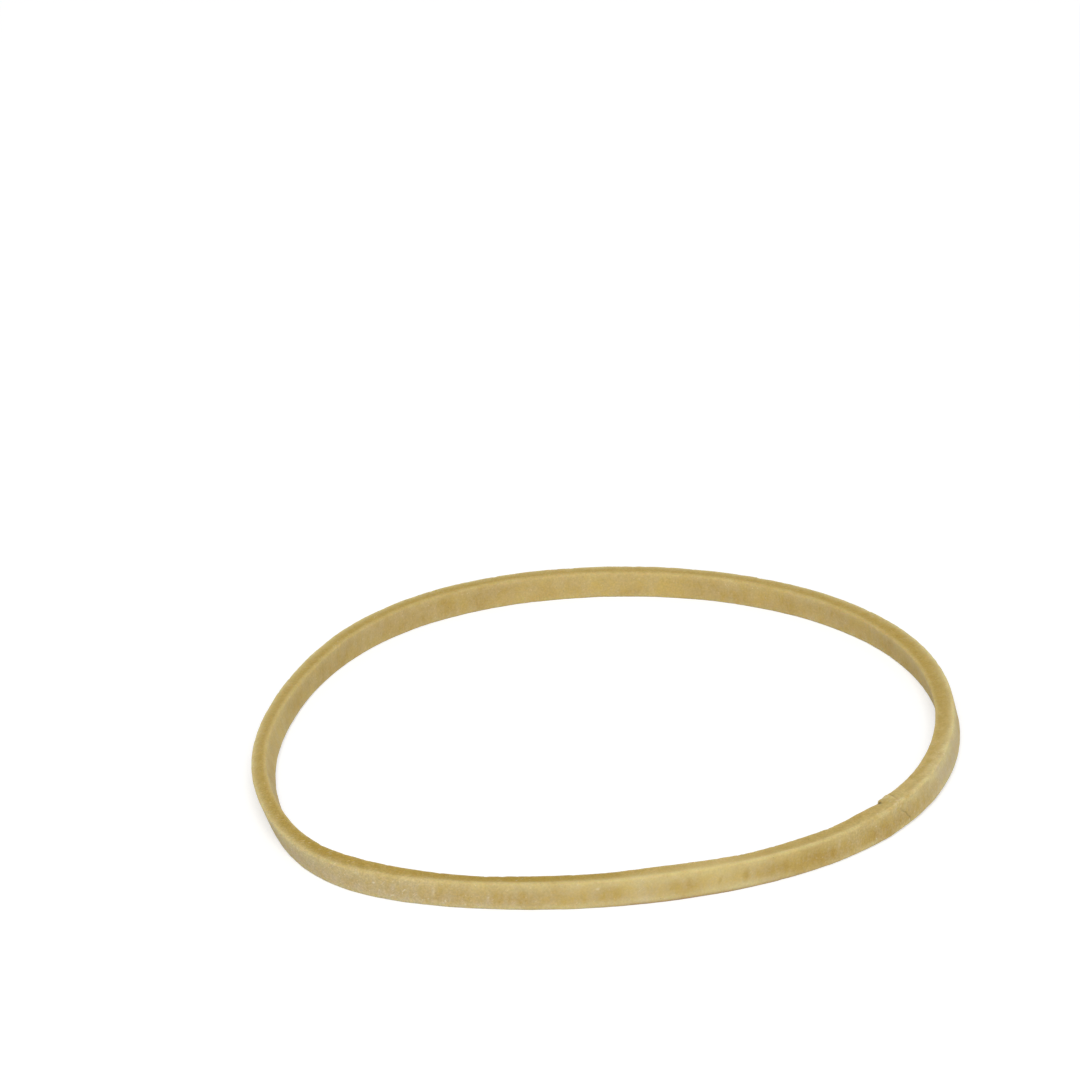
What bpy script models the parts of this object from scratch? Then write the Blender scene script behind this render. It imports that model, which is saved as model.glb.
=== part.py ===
"""A rubber band: one endless flat strip of soft latex rubber, a ring cut from a thin-walled tube.
It lies unstretched, standing on the cut face that came to rest on the table. Metres, +Z up, front towards -Y."""

import math

import bmesh
import bpy
import numpy as np

MM = 0.001

# Sizes of the strip.
FLAT_LENGTH = 63.5 * MM  # end to end, pressed flat against a ruler
CUT_WIDTH = 1.59 * MM  # from knife cut to knife cut, which is the height of the ring as it stands
CUT_SWING = 0.08 * MM  # the knife ran in and out twice as the tube turned
WIDEST_AT = -62
WALL = 0.98 * MM  # the thickness of the tube's wall
WALL_SWING = 0.08 * MM  # the tube's bore was off its centre
THICKEST_AT = 0
EDGE_RADIUS = 0.12 * MM
EDGE_SEGMENTS = 2

# Directions are in degrees round the ring's middle, from +X towards +Y.
# A slack ring is never a true circle. Each lobe is its count round the ring, its height as a
# share of the mean radius, and the direction of one of its crests.
LOBES = ((2, 0.061, 55), (3, 0.018, -14), (4, 0.0145, -44))

# A bend keeps a tighter turn: its direction, the angle it spreads over and its height as a share of the mean radius.
# The band was once folded over at its right, and the fold left three small bends close together.
LEFT_BEND = (229.5, 16.5, 0.055)
FOLD = (-38.5, 2.6, 0.0014)
FOLD_MIDDLE = (-30.0, 2.6, 0.0008)
FOLD_END = (-23.5, 2.6, 0.0010)
BENDS = (LEFT_BEND, FOLD, FOLD_MIDDLE, FOLD_END)

# At the fold the inner face of the wall steps in, and comes back slowly from there on.
STEP = 0.2 * MM
STEP_AT = -36.5
STEP_RISE = 0.5
STEP_FADE = 40

# A lean tips the strip: its direction, its reach to either side and the largest tip.
# A positive tip carries the top edge in over the ring, a negative one carries it out.
RIGHT_LEAN = (2, 65, 15)
LEFT_LEAN = (203, 52, -23)
LEANS = (RIGHT_LEAN, LEFT_LEAN)

STATIONS = 288
LENGTH_SAMPLES = 2880

# Pressed flat, the two runs touch, and the strip turns through a half circle at each end.
LOOP_LENGTH = 2 * FLAT_LENGTH - (4 - math.pi) * WALL

LATEX = (0.53, 0.39, 0.16, 1.0)


def apart(angles, direction):
    """The signed angle in degrees from a direction, the short way round."""
    return (angles - direction + 180) % 360 - 180


def swing(angles, amount, crest, count=1):
    """A wave that goes count times round the ring, with a crest in one direction."""
    return amount * np.cos(np.radians(count * (angles - crest)))


def hump(angles, direction, spread):
    """One at a direction, dying away smoothly on both sides."""
    return np.exp(-((apart(angles, direction) / spread) ** 2))


def radius_share(angles):
    """The distance of the strip's middle from the ring's centre, as a share of the mean radius."""
    share = np.ones_like(angles)
    for count, height, crest in LOBES:
        share += swing(angles, height, crest, count)
    for direction, spread, height in BENDS:
        share += height * hump(angles, direction, spread)
    return share


def tip(angles):
    """How far the strip leans from upright, in radians, and exactly zero between the leans."""
    total = np.zeros_like(angles)
    for direction, reach, largest in LEANS:
        share = np.clip(np.abs(apart(angles, direction)) / reach, 0, 1)
        total += largest * (0.5 + 0.5 * np.cos(math.pi * share))
    return np.radians(total)


def inner_step(angles):
    """How far the inner face stands in from the plain wall: a quick rise at the fold, then a slow return."""
    past = apart(angles, STEP_AT)
    rise = 1 / (1 + np.exp(-past / STEP_RISE))
    return STEP * rise * np.exp(-np.maximum(past, 0) / STEP_FADE)


def plain_wall(angles):
    return WALL + swing(angles, WALL_SWING, THICKEST_AT)


def cut_width(angles):
    return CUT_WIDTH + swing(angles, CUT_SWING, WIDEST_AT, 2)


def plan_of(angles, mean_radius):
    """Points of the strip's middle line, seen from above."""
    distance = mean_radius * radius_share(angles)
    turn = np.radians(angles)
    return np.column_stack((distance * np.cos(turn), distance * np.sin(turn)))


def stations():
    """Directions of equally spaced points along the strip, and the mean radius that gives the loop its length."""
    fine = np.linspace(0, 360, LENGTH_SAMPLES + 1)
    steps = np.linalg.norm(np.diff(plan_of(fine, 1.0), axis=0), axis=1)
    along = np.concatenate(([0], np.cumsum(steps)))
    wanted = np.linspace(0, along[-1], STATIONS, endpoint=False)
    return np.interp(wanted, along, fine), LOOP_LENGTH / along[-1]


def outward_of(plan):
    """Level unit vectors that point out of the ring, square to the strip."""
    ahead = np.roll(plan, -1, axis=0) - np.roll(plan, 1, axis=0)
    ahead /= np.linalg.norm(ahead, axis=1)[:, None]
    return np.column_stack((ahead[:, 1], -ahead[:, 0]))


def rims():
    """The lower and upper rim of the strip's middle surface, with the wall thickness at each station."""
    angles, mean_radius = stations()
    middle = plan_of(angles, mean_radius)
    outward = outward_of(middle)
    step = inner_step(angles)
    middle -= outward * step[:, None] / 2
    wall = plain_wall(angles) + step
    width = cut_width(angles)
    lean = tip(angles)

    # Tipped, the strip rests on the rounding of one edge, so its lower rim is lifted until that edge just touches.
    lift = (wall / 2 - EDGE_RADIUS) * np.abs(np.sin(lean)) + EDGE_RADIUS * (1 - np.cos(lean))
    rise = width * np.cos(lean)
    inward = width * np.sin(lean)
    lower = np.column_stack((middle + outward * inward[:, None] / 2, lift))
    upper = np.column_stack((middle - outward * inward[:, None] / 2, lift + rise))

    # The origin is under the middle of the whole ring.
    skin = outward * wall[:, None] / 2
    outline = np.concatenate((lower[:, :2] + skin, upper[:, :2] + skin))
    centre = (outline.min(axis=0) + outline.max(axis=0)) / 2
    lower[:, :2] -= centre
    upper[:, :2] -= centre
    return lower, upper, wall


def strip_mesh(name, lower, upper, share_of_wall):
    """The middle surface: the lower rim drawn as a closed line and pulled up to the upper rim.
    Each point carries its station's share of the thickest wall."""
    bm = bmesh.new()
    station = bm.verts.layers.int.new("station")
    shares = bm.verts.layers.deform.verify()
    rim = [bm.verts.new(point) for point in lower]
    for i, vert in enumerate(rim):
        vert[station] = i
        vert[shares][0] = share_of_wall[i]
    edges = [bm.edges.new((rim[i - 1], rim[i])) for i in range(len(rim))]
    pulled = bmesh.ops.extrude_edge_only(bm, edges=edges)["geom"]
    for vert in pulled:
        if isinstance(vert, bmesh.types.BMVert):
            vert.co = upper[vert[station]]
    bmesh.ops.recalc_face_normals(bm, faces=bm.faces)
    for face in bm.faces:
        face.smooth = True
    mesh = bpy.data.meshes.new(name)
    bm.to_mesh(mesh)
    bm.free()
    return mesh


def latex_material():
    material = bpy.data.materials.new("latex")
    material.use_nodes = True
    shader = material.node_tree.nodes["Principled BSDF"]
    shader.inputs["Base Color"].default_value = LATEX
    shader.inputs["Roughness"].default_value = 0.7
    material.diffuse_color = LATEX
    return material


def build_band(collection):
    lower, upper, wall = rims()
    thickest = wall.max()
    band = bpy.data.objects.new("band", strip_mesh("band", lower, upper, wall / thickest))
    collection.objects.link(band)
    band.data.materials.append(latex_material())

    # The tube's wall: the middle surface thickened to both sides, by more where the wall is thicker.
    band.vertex_groups.new(name="share of wall")
    skin = band.modifiers.new("wall", "SOLIDIFY")
    skin.thickness = thickest
    skin.offset = 0
    skin.use_even_offset = True
    skin.vertex_group = "share of wall"

    # Soft rubber leaves the knife with slightly rounded edges.
    edge = band.modifiers.new("edges", "BEVEL")
    edge.width = EDGE_RADIUS
    edge.segments = EDGE_SEGMENTS
    edge.limit_method = "ANGLE"
    edge.angle_limit = math.radians(60)
    edge.use_clamp_overlap = False
    edge.harden_normals = True
    return band


for old in list(bpy.data.objects):
    bpy.data.objects.remove(old)
parts = bpy.data.collections.new("rubber_band")
bpy.context.scene.collection.children.link(parts)
build_band(parts)
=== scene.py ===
# %% [markdown]
# # A rubber band, dressed for its portrait
# A rubber band is one endless strip of latex. It is sliced like a ring of onion from a thin-walled tube,
# so two of its four faces are the tube's powdery walls and the other two are bare knife cuts.
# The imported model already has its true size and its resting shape. This lesson keeps both, and adds what
# only a close look shows: the wandering knife, the scuffed edges, the old fold, the talc and the grain.
# Everything is in metres, with +Z up and the front towards -Y.
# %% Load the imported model
import math

import bmesh
import bpy
import numpy as np
from mathutils import Matrix, Vector, noise
from mathutils.bvhtree import BVHTree


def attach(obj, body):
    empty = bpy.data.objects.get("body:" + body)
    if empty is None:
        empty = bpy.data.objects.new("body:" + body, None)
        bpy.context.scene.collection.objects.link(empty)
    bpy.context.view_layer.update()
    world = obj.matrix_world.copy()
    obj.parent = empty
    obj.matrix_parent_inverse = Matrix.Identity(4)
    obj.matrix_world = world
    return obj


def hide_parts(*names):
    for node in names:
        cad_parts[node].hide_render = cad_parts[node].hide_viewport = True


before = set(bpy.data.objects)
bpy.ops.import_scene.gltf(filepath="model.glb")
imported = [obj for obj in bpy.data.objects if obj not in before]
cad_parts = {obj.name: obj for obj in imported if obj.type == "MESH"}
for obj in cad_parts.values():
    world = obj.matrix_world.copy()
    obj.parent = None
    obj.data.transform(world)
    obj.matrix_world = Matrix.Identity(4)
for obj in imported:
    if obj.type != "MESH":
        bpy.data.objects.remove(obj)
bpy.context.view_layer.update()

cad_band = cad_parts["band"]
print("The packed band is", [round(1000 * side, 2) for side in cad_band.dimensions], "mm in size")

# %% [markdown]
# ## The camera
# The photograph was taken from about 24 degrees above the table with a long lens, which keeps the ring's far
# side nearly as large as its near side. A long lens is a large focal length and a camera that stands well
# back. The camera comes first, because it decides how fine the modelling has to be: here one millimetre of
# rubber covers about 18 pixels, so a dent of a twentieth of a millimetre still shows.
# %% Set up the camera
LOOK_DOWN = 23.83  # degrees below level
CAMERA_PLACE = (-0.0039, -0.2698, 0.1316)
LENS = 176.1  # millimetres, on the usual 36 mm sensor
NEAREST_SEEN = 0.01

camera = bpy.data.objects.new("camera", bpy.data.cameras.new("camera"))
bpy.context.scene.collection.objects.link(camera)
bpy.context.scene.camera = camera
camera.location = CAMERA_PLACE
camera.rotation_euler = (math.radians(90 - LOOK_DOWN), 0, 0)
camera.data.lens = LENS
camera.data.clip_start = NEAREST_SEEN
print("The camera stands", round(camera.location.length, 3), "m from the middle of the band")

# %% [markdown]
# ## The line that the strip follows
# Seen from above, a slack band is never a true circle. One way to draw it is a Bezier curve with hand-placed
# handles. Here it is a circle whose radius swells and shrinks with the direction: a few waves, which go a
# whole number of times round, and a few humps, where the rubber kept a tighter bend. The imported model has
# the same waves and humps, so this piece lies exactly where that one lies.
# %% Waves and humps round the ring
MM = 0.001
LOBES = ((2, 0.061, 55), (3, 0.018, -14), (4, 0.0145, -44))  # count, height as a share of the radius, a crest
LEFT_BEND = (229.5, 16.5, 0.055)  # direction, spread, height as a share of the radius
OLD_FOLD = ((-38.5, 2.6, 0.0014), (-30.0, 2.6, 0.0008), (-23.5, 2.6, 0.0010))


def apart(angles, direction):
    """The signed angle in degrees from a direction, the short way round."""
    return (angles - direction + 180) % 360 - 180


def swing(angles, amount, crest, count=1):
    """A wave that goes count times round the ring, with a crest in one direction."""
    return amount * np.cos(np.radians(count * (angles - crest)))


def fade(distance, reach):
    """One where a distance is nothing, dying away smoothly beyond its reach."""
    return np.exp(-((distance / reach) ** 2))


def hump(angles, direction, spread):
    """One at a direction, dying away smoothly on both sides."""
    return fade(apart(angles, direction), spread)


def plan_of(angles, mean_radius):
    """Points of the strip's middle line, seen from above."""
    share = np.ones_like(angles)
    for count, height, crest in LOBES:
        share += swing(angles, height, crest, count)
    for direction, spread, height in (LEFT_BEND, *OLD_FOLD):
        share += height * hump(angles, direction, spread)
    turn = np.radians(angles)
    return (mean_radius * share)[:, None] * np.column_stack((np.cos(turn), np.sin(turn)))


# %% [markdown]
# ## One length of rubber
# A band is sold by its length pressed flat, here two and a half inches. The loop's length follows from that,
# and the loop's length gives the ring its radius. So the ring is drawn once with a radius of one, measured
# with many short straight steps, and scaled to fit.
# %% Measure the loop and find its radius
FLAT_LENGTH = 63.5 * MM
WALL = 0.98 * MM
LENGTH_SAMPLES = 2880
loop_length = 2 * FLAT_LENGTH - (4 - math.pi) * WALL

fine_angles = np.linspace(0, 360, LENGTH_SAMPLES + 1)
steps = np.linalg.norm(np.diff(plan_of(fine_angles, 1.0), axis=0), axis=1)
run_so_far = np.concatenate(([0], np.cumsum(steps)))
mean_radius = loop_length / run_so_far[-1]
print("Loop", round(1000 * loop_length, 1), "mm long, mean radius", round(1000 * mean_radius, 2), "mm")

# %% [markdown]
# ## How thick, how tall and how tipped
# The tube's bore was a little off its centre, so the wall is thicker on one side, and the knife ran in and
# out as the tube turned. At the old fold the inner face steps in and comes back slowly. On both sides the
# strip leans, because a ring that lies slack on a table doesn't stand upright everywhere.
# %% Wall, height and lean in every direction
CUT_WIDTH = 1.59 * MM
CUT_SWING = 0.08 * MM
WIDEST_AT = -62
WALL_SWING = 0.08 * MM
THICKEST_AT = 0
EDGE_RADIUS = 0.12 * MM
STEP = 0.2 * MM
STEP_AT = -36.5
STEP_RISE = 0.2  # in degrees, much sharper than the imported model's
STEP_FADE = 40  # also in degrees
LEANS = ((2, 65, 15), (203, 52, -23))  # direction, reach to either side, largest tip in degrees


def inner_step(angles):
    """How far the inner face stands in from the plain wall: a quick rise at the fold, then a slow return."""
    past = apart(angles, STEP_AT)
    rise = 0.5 + 0.5 * np.tanh(past / (2 * STEP_RISE))
    return STEP * rise * np.exp(-np.maximum(past, 0) / STEP_FADE)


def tip(angles):
    """How far the strip leans from upright, in radians: above zero the top edge leans in over the ring."""
    total = np.zeros_like(angles)
    for direction, reach, largest in LEANS:
        share = np.clip(np.abs(apart(angles, direction)) / reach, 0, 1)
        total += largest * (0.5 + 0.5 * np.cos(math.pi * share))
    return np.radians(total)


# %% [markdown]
# ## A flat sheet, rolled into a tube and bent into a ring
# The strip could come from a curve with a bevel profile, but then its UV map and its four faces are hard to
# reach. A flat grid is easier to steer, and it brings a clean UV map. Its long side will run round the ring
# and its short side round the strip's section, so each point of the grid knows at once where it belongs. The
# outer wall gets the most steps, because the finest marks lie there, and the cut underneath the fewest.
# %% Make the flat sheet
STATIONS = 1500  # along the ring
FLAT_STEPS = (20, 10, 12, 6)  # across the outer wall, the top cut, the inner wall and the bottom cut
CORNER_STEPS = 4
AROUND = sum(FLAT_STEPS) + 4 * CORNER_STEPS

sheet = bmesh.new()
sheet.loops.layers.uv.new("strip")
bmesh.ops.create_grid(sheet, x_segments=STATIONS, y_segments=AROUND, size=0.5, calc_uvs=True)
flat = np.array([vert.co for vert in sheet.verts])
station = np.rint((flat[:, 0] + 0.5) * STATIONS).astype(int)
around = np.rint((flat[:, 1] + 0.5) * AROUND).astype(int)
print("Sheet of", STATIONS, "by", AROUND, "faces")

# %% [markdown]
# ## The section as a small rectangle with a fat outline
# A rectangle with rounded edges is a smaller rectangle, grown outwards by the radius. So each point of the
# section needs two things: its place on the small rectangle, from -1 to 1 both ways, and the direction in
# which it is grown. The four flats keep one direction each, and at each corner the direction turns.
# %% Walk round the section
places, growths = [], []
CORNERS = ((1, -1), (1, 1), (-1, 1), (-1, -1))  # x points out of the ring, y points up
for number, corner in enumerate(CORNERS):
    following = CORNERS[(number + 1) % 4]
    facing = math.radians(90 * number)
    for step in range(FLAT_STEPS[number]):
        places.append(np.array(corner) + (np.array(following) - np.array(corner)) * step / FLAT_STEPS[number])
        growths.append((math.cos(facing), math.sin(facing)))
    for step in range(CORNER_STEPS):
        turned = facing + math.pi / 2 * step / CORNER_STEPS
        places.append(np.array(following, float))
        growths.append((math.cos(turned), math.sin(turned)))
places, growths = np.array(places)[around % AROUND], np.array(growths)[around % AROUND]
print("Section of", AROUND, "points,", CORNER_STEPS, "faces to each rounded edge")

# %% [markdown]
# ## Share the stations out
# The columns of the sheet are called stations here. Evenly shared, each would be a twelfth of a millimetre
# wide, which is too coarse for the crumpled fold at the front right. So the run is weighted: near the fold
# each step counts three times, and the stations crowd together there.
# %% Give every station its direction
FOLD_AT = -34
CROWDING = 2  # how much more a step counts at the fold
CROWDED_REACH = 5  # in degrees
weights = 1 + CROWDING * hump((fine_angles[1:] + fine_angles[:-1]) / 2, FOLD_AT, CROWDED_REACH)
weighted_run = np.concatenate(([0], np.cumsum(steps * weights)))
angles = np.interp(station / STATIONS * weighted_run[-1], weighted_run, fine_angles)
spacing = np.diff(np.unique(angles)) * math.radians(1) * mean_radius
print("Stations are", round(1000 * spacing.min(), 3), "to", round(1000 * spacing.max(), 3), "mm apart")

# %% [markdown]
# ## Soft humps from a list
# Much about a real band is true only in places: here the knife slipped, there the powder is thick. A short
# list says it well: each row holds a direction, a reach to either side in degrees, and a strength. One helper
# adds up such a list at every point. The slant of the knife is the first to use it, with its strengths in
# millimetres: the blade didn't cut quite square, so the inner rim of the top cut stands a little higher or
# lower than a square cut would leave it.
# %% Read a list of humps, and slant the knife
SLANTS = ((233.5, 8.5, 0.15), (250, 4, -0.04), (277, 7, 0.06), (294, 7, -0.06), (318.5, 5, 0.11))


def patches_of(patches):
    """The sum of soft patches in every point's direction."""
    return sum(strength * hump(angles, direction, reach) for direction, reach, strength in patches)


inner_lift = MM * patches_of(SLANTS)
least, most = (1000 * inner_lift.min()).round(2), (1000 * inner_lift.max()).round(2)
print("The inner rim is lifted by", least, "to", most, "mm")

# %% [markdown]
# ## Bend the sheet
# Three directions carry a point from the sheet to its place: along the ring, out of it, and up. Where the
# strip leans, the last two turn together. A leaning strip rests on the rounding of one edge, so it is lifted
# until that edge just touches the table. The knife's slant lifts the inner rim of the top cut in full, and
# less and less towards the outer rim and the foot.
# %% Place every point of the sheet
NEARBY = 0.6  # degrees to either side of a point, between which the strip's way is measured
middle = plan_of(angles, mean_radius)
ahead = plan_of(angles + NEARBY, mean_radius) - plan_of(angles - NEARBY, mean_radius)
ahead /= np.linalg.norm(ahead, axis=1)[:, None]
outward = np.column_stack((ahead[:, 1], -ahead[:, 0]))

step_in = inner_step(angles)
middle -= outward * step_in[:, None] / 2
wall = WALL + swing(angles, WALL_SWING, THICKEST_AT) + step_in
width = CUT_WIDTH + swing(angles, CUT_SWING, WIDEST_AT, 2)
lean = tip(angles)
lift = (wall / 2 - EDGE_RADIUS) * np.abs(np.sin(lean)) + EDGE_RADIUS * (1 - np.cos(lean))

out_of_wall = np.column_stack((outward * np.cos(lean)[:, None], np.sin(lean)))
up_the_wall = np.column_stack((-outward * np.sin(lean)[:, None], np.cos(lean)))
heart = np.column_stack((middle, lift + width * np.cos(lean) / 2))
sideways = places[:, 0] * (wall / 2 - EDGE_RADIUS) + growths[:, 0] * EDGE_RADIUS
upwards = places[:, 1] * (width / 2 - EDGE_RADIUS) + growths[:, 1] * EDGE_RADIUS
upwards += inner_lift * (0.5 - sideways / wall) * (0.5 + upwards / width)
points = heart + out_of_wall * sideways[:, None] + up_the_wall * upwards[:, None]
normals = out_of_wall * growths[:, :1] + up_the_wall * growths[:, 1:]
points[:, :2] -= (points[:, :2].max(axis=0) + points[:, :2].min(axis=0)) / 2
print("Bent strip spans", (1000 * np.ptp(points, axis=0)).round(2), "mm")

# %% [markdown]
# ## Where on the strip is each point?
# Wear isn't spread evenly: knife marks are only on the cuts, and edges tear and get scuffed. These numbers
# say, for each point, how much of a cut face it is, how far down the wall or out across the cut it lies, and
# how far it is from the nearest edge. The modelling uses them now, and the wear and the finish later.
# %% Tell cuts, walls and edges apart
on_cut = growths[:, 1] ** 2
on_top, on_outside = growths[:, 1] > 0.5, growths[:, 0] > 0.5
down_wall = (width / 2 - upwards) / width
across_cut = (wall / 2 + sideways) / wall
to_edge = np.where(
    on_cut > 0.5,
    (1 - np.abs(places[:, 0])) * (wall / 2 - EDGE_RADIUS),
    (1 - np.abs(places[:, 1])) * (width / 2 - EDGE_RADIUS),
)
print("Cut faces hold", round(100 * float((on_cut > 0.5).mean())), "% of the points")

# %% [markdown]
# ## Uneven rubber
# Nothing on a cheap band is truly flat. Smooth noise, read at each point's own place in space, makes
# neighbours agree and leaves no seam where the sheet closes. Broad, low swells stand for the uneven wall,
# a gentler wave for the knife that wandered, and short nicks along the edges for rubber that tore a little.
# The nicks come in groups, and there are fewer on the lower edges, which were cut with a fresher blade.
# %% Swells, knife wander and nicks
SWELL_HEIGHT, SWELL_SIZE = 0.012 * MM, 0.9 * MM
WANDER_HEIGHT, WANDER_SIZE = 0.02 * MM, 2.6 * MM
RIPPLE_HEIGHT, RIPPLE_SIZE = 0.006 * MM, 0.5 * MM
RAGGED_HEIGHT, RAGGED_SIZE = 0.01 * MM, 0.8 * MM
NICK_DEPTH, NICK_SIZE = 0.06 * MM, 0.4 * MM
NICKS_ABOVE = 0.15  # only the higher bumps of the noise tear
GROUP_SIZE = 5 * MM
GROUP_MEAN, GROUP_LEAST, GROUP_MOST = 0.6, 0.2, 1.2
LOWER_NICKS = 0.3
EDGE_REACH = 0.08 * MM


def soft_noise(place):
    """Smooth noise from about -1 to 1 at one place, in three layers, each twice as fine as the last."""
    return noise.fractal(place, 1.0, 2.0, 3)


def bumps(size, seed):
    """Smooth noise at every point, with bumps of about that size. Each seed gives other bumps."""
    shift = Vector((7.3, 1.9, 4.1)) * seed
    return np.array([soft_noise(Vector(point / size) + shift) for point in points])


swells = SWELL_HEIGHT * bumps(SWELL_SIZE, 1) * (1 - on_cut)
knife_wander = (WANDER_HEIGHT * bumps(WANDER_SIZE, 2) + RIPPLE_HEIGHT * bumps(RIPPLE_SIZE, 3)) * on_cut
ragged = np.exp(-to_edge / EDGE_REACH)
in_groups = np.clip(GROUP_MEAN + bumps(GROUP_SIZE, 7), GROUP_LEAST, GROUP_MOST)
torn = np.clip(bumps(NICK_SIZE, 4) - NICKS_ABOVE, 0, 1) * in_groups
torn *= np.where(growths[:, 1] > 0.1, 1.0, LOWER_NICKS)
nicks = (RAGGED_HEIGHT * bumps(RAGGED_SIZE, 6) - NICK_DEPTH * torn) * ragged
print("Swells reach", round(1e6 * float(np.abs(swells).max())), "thousandths of a millimetre")

# %% [markdown]
# ## The old fold
# Near the front right this band was once folded over. A crease crosses the cut face and runs on down the
# outer wall, slanting as it goes. To draw it, the way across the cut face and then down the wall is unrolled
# into one length. A short list gives distances along it in millimetres, each with the direction in degrees
# that the crease has reached there. A point's distance from that line sets how deep it lies in the groove,
# with a low lip to either side. Just under the edge the skin bridges the groove, and towards the foot of the
# wall the groove runs out.
# %% Cut the crease
CREASE = ((0.0, -33.2), (0.35, -33.3), (0.8, -34.0), (1.1, -34.8), (1.75, -34.7), (2.1, -33.4), (2.6, -32.1))
CREASE_WAVER = 0.25  # in degrees
WAVER_SIZE = 0.5 * MM
GROOVE_REACH = 0.06 * MM
LIP_AT, LIP_REACH = 0.2 * MM, 0.12 * MM
BRIDGE_AT, BRIDGE_REACH, BRIDGE_SHARE = 1.33 * MM, 0.5 * MM, 0.95
RUN_OUT = 0.5 * MM
from_inner_edge = np.where(on_top & (on_cut > 0.5), wall / 2 + sideways, wall + width / 2 - upwards)
crease_line = np.interp(from_inner_edge / MM, [at for at, _ in CREASE], [turn for _, turn in CREASE])
crease_line += CREASE_WAVER * bumps(WAVER_SIZE, 8)
from_crease = np.radians(apart(angles, crease_line)) * mean_radius
shows_crease = np.where((growths[:, 1] > 0.1) | on_outside, 1.0, 0.0)
fades_down = np.clip((wall + width - from_inner_edge) / RUN_OUT, 0, 1)
bridged = 1 - BRIDGE_SHARE * np.exp(-(((from_inner_edge - BRIDGE_AT) / BRIDGE_REACH) ** 4))
groove = fade(from_crease, GROOVE_REACH) * shows_crease * fades_down * bridged
lips = fade(np.abs(from_crease) - LIP_AT, LIP_REACH) * shows_crease * fades_down
print("The groove touches", int((groove > 0.5).sum()), "points")

# %% [markdown]
# Beside the crease the skin is crumpled: small dents and bumps that die away within a few millimetres, and
# that are lowest near the foot and the inner wall. And at the foot of the step, where the inner face juts in,
# the rubber is pinched into a little notch.
# %% Crumple the fold and pinch the step
CRUMPLE_HEIGHT, CRUMPLE_SIZE = 0.055 * MM, 0.45 * MM
WRINKLE_HEIGHT, WRINKLE_SIZE = 0.012 * MM, 0.16 * MM
CRUMPLE_REACH = 4  # in degrees
CRUMPLE_AT_FOOT = 0.2
CALM_REACH, CALM_SHARE = 0.3 * MM, 0.7
PINCH_AT, PINCH_SPREAD = STEP_AT - 0.5, 0.5
PINCH_REACH = 0.15 * MM
LIP_HEIGHT = 0.02 * MM
GROOVE_DEPTH = 0.04 * MM
PINCH_DEPTH = 0.08 * MM
crumple = CRUMPLE_HEIGHT * bumps(CRUMPLE_SIZE, 5) + WRINKLE_HEIGHT * bumps(WRINKLE_SIZE, 9)
crumple *= hump(angles, FOLD_AT, CRUMPLE_REACH) * np.clip(0.5 + upwards / width, CRUMPLE_AT_FOOT, 1)
crumple *= 1 - CALM_SHARE * np.exp(-(wall / 2 + sideways) / CALM_REACH)
pinch = hump(angles, PINCH_AT, PINCH_SPREAD) * np.exp(-from_inner_edge.clip(0) / PINCH_REACH) * shows_crease
fold = LIP_HEIGHT * lips - GROOVE_DEPTH * groove - PINCH_DEPTH * pinch + crumple
print("The fold goes", round(1e6 * float(-fold.min())), "thousandths of a millimetre deep")

# %% [markdown]
# ## Talc and handling
# Talc stays where nothing touches the band and wears off where it rubs. That makes broad, soft patches, each
# with a direction, a spread in degrees and a strength. More lists say where the rubber of the walls is paler or
# deeper, where dust has settled on the cuts, and where the powder is coarse enough to look gritty. A dip in the
# dust list at 257 degrees darkens the cut there as painted shade. Some powder has gathered along the foot of
# the outer wall, and at the right it is wiped off below the top edge.
# All could be painted by hand in vertex paint mode, but lists of humps stay easy to read and to change.
# %% Patches of talc, pale rubber, dust, painted shade and grit
TALC_PATCHES = (
    (223, 15, 0.65),
    (243, 4, 0.12),
    (257, 4, 0.2),
    (269, 2, -0.15),
    (275, 2.5, 0.25),
    (282, 2, -0.15),
    (295, 3, 0.15),
    (306, 15, -0.25),
    (312, 4, 0.12),
    (329, 6, -0.15),
    (347, 13, 0.6),
    (40, 30, 0.2),
    (130, 30, 0.15),
)
PALE_PATCHES = (
    (267, 7, 0.3),
    (266.4, 1.3, 0.15),
    (273.5, 1.5, 0.15),
    (275, 4, 0.45),
    (287, 5, 0.7),
    (309, 9, -0.12),
    (348, 12, 0.4),
    (90, 25, 0.3),
    (180, 25, 0.2),
)
DUST_AND_SHADE_PATCHES = (
    (226, 6, -0.2),
    # painted shade: this dip darkens the cut here
    (257, 9, -0.3),
    (282, 12, 0.45),
    (288, 3, 0.3),
    (322, 1.5, -0.2),
    (335, 28, 0.5),
    (80, 40, 0.2),
    (180, 30, 0.1),
)
GRIT_PATCHES = ((226, 30, 0.16), (320, 20, 0.12), (60, 60, 0.06), (150, 50, 0.06))
FOOT_PATCHES = ((244, 8, 0.4), (266, 4, 0.2), (278, 4, 0.3), (291, 7, 0.4), (270, 45, 0.12))
FOOT_REACH = 0.26  # as a share of the wall's height
TOP_REACH = 0.3
WIPED_AT, WIPED_REACH = 299, 10  # in degrees
TALC_LOST, PALENESS_GAINED = 0.35, 0.2

near_foot = fade(1 - down_wall, FOOT_REACH) * on_outside
wiped = hump(angles, WIPED_AT, WIPED_REACH) * fade(down_wall, TOP_REACH) * on_outside
talc_left = patches_of(TALC_PATCHES) + patches_of(FOOT_PATCHES) * near_foot - TALC_LOST * wiped
paleness = patches_of(PALE_PATCHES) + PALENESS_GAINED * wiped
grit_left = patches_of(GRIT_PATCHES)
print("Talc shifts from", round(float(talc_left.min()), 2), "to", round(float(talc_left.max()), 2))

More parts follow.
